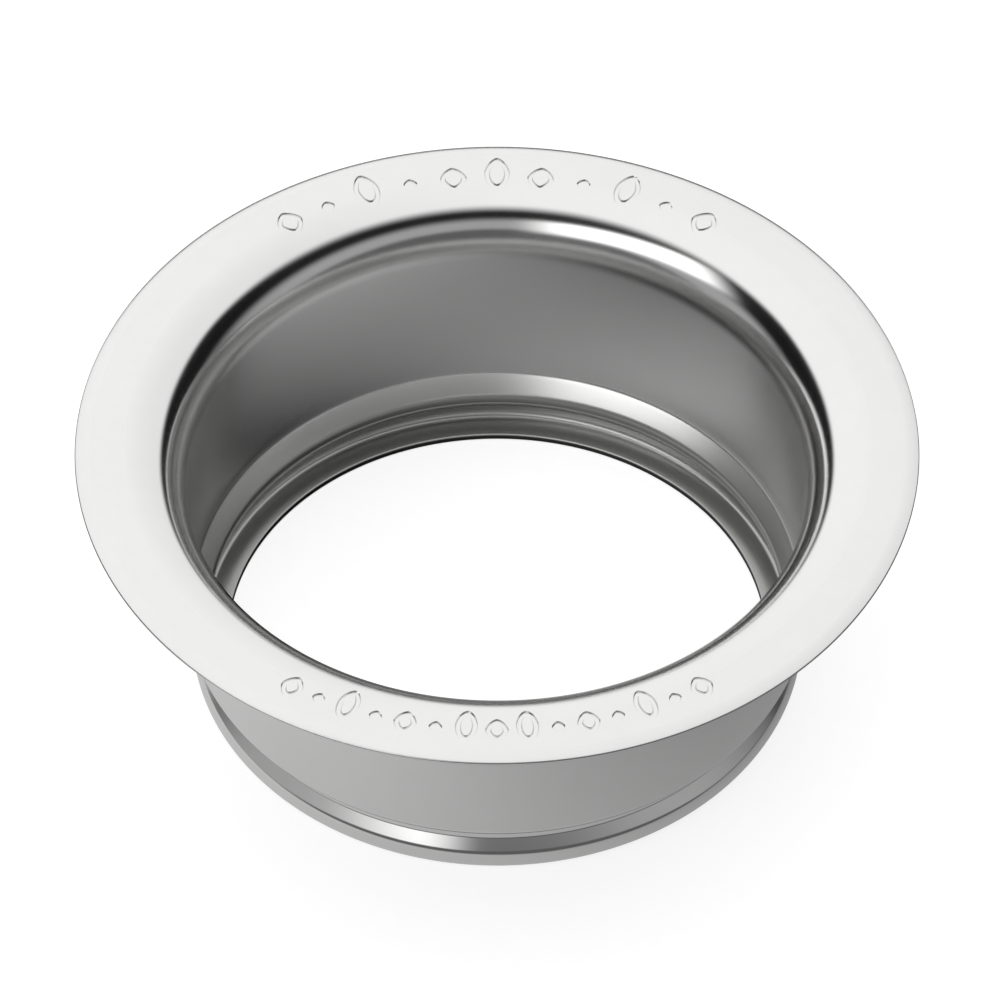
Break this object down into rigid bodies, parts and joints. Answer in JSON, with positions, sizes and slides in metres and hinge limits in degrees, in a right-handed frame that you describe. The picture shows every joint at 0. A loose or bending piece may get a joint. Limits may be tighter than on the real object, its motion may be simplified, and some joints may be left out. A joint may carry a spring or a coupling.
{
  "type": "sink flange",
  "caption": "Round stainless sink flange with a flat rim, a smooth bend into a straight throat, a ring groove and a rolled bead with an inward lip at its lower end.",
  "frame": {"origin": "on the throat's axis, level with the flat underside of the lip on which the flange stands", "axes": "+Z along the throat's axis, from the lip up to the rim; X and Y are free round the axis"},
  "size_m": [0.1142, 0.1142, 0.0404],
  "materials": {
    "stainless_steel": "fine satin on the rim and throat, brighter on the bends, the bead and the trimmed edges"
  },
  "bodies": {
    "root": {"sink_flange": "stainless_steel"}
  },
  "joints": []
}
